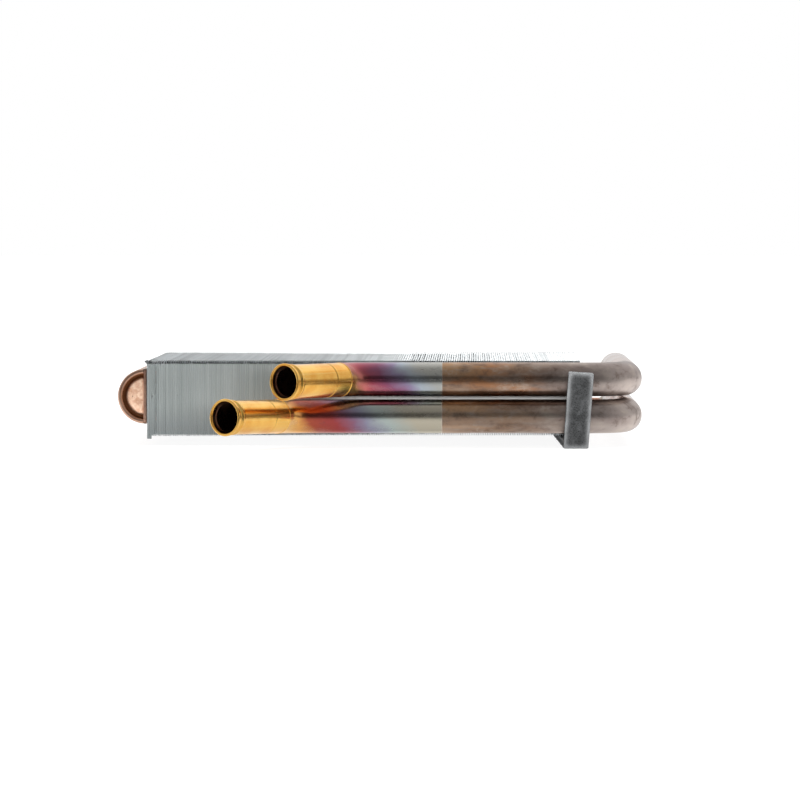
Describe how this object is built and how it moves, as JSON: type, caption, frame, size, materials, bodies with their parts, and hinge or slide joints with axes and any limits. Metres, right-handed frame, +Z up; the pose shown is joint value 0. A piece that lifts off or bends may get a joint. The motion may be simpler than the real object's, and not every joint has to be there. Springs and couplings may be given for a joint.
{
  "type": "tube-and-fin heater core",
  "caption": "Flat tube-and-fin heater core: aluminium fin block on copper tubes, a D-shaped turn tank at one end, two bent copper pipes with brass hose spigots and a foam seal strip.",
  "frame": {"origin": "centre of the fin block's underside", "axes": "+X along the tubes, from the turn tank to the header pipes; +Y away from the two front pipes, towards the closed ends of the headers; +Z up through the thickness of the fin block, the way the air goes"},
  "size_m": [0.2873, 0.2268, 0.0471],
  "materials": {
    "fin_aluminium": "thin rolled sheet, satin",
    "tube_copper": "drawn copper, slightly dulled",
    "tank_copper": "pressed copper, oxidised at the rim",
    "pipe_copper": "drawn copper, brown oxide with heat tint towards the spigots",
    "spigot_brass": "turned and polished",
    "foam": "open-cell foam"
  },
  "bodies": {
    "root": {"fin_pack_1": "fin_aluminium", "fin_pack_2": "fin_aluminium", "fin_pack_3": "fin_aluminium", "fin_pack_4": "fin_aluminium", "fin_pack_5": "fin_aluminium", "lower_tube_01": "tube_copper", "lower_tube_02": "tube_copper", "lower_tube_03": "tube_copper", "lower_tube_04": "tube_copper", "lower_tube_05": "tube_copper", "lower_tube_06": "tube_copper", "lower_tube_07": "tube_copper", "lower_tube_08": "tube_copper", "lower_tube_09": "tube_copper", "lower_tube_10": "tube_copper", "upper_tube_01": "tube_copper", "upper_tube_02": "tube_copper", "upper_tube_03": "tube_copper", "upper_tube_04": "tube_copper", "upper_tube_05": "tube_copper", "upper_tube_06": "tube_copper", "upper_tube_07": "tube_copper", "upper_tube_08": "tube_copper", "upper_tube_09": "tube_copper", "upper_tube_10": "tube_copper", "tank_header_plate": "tank_copper", "turn_tank_shell": "tank_copper", "turn_tank_front_cap": "tank_copper", "turn_tank_back_cap": "tank_copper", "inlet_pipe": "pipe_copper", "outlet_pipe": "pipe_copper", "inlet_header_cap": "tank_copper", "outlet_header_cap": "tank_copper", "inlet_spigot": "spigot_brass", "outlet_spigot": "spigot_brass", "foam_seal_strip": "foam"}
  },
  "joints": []
}
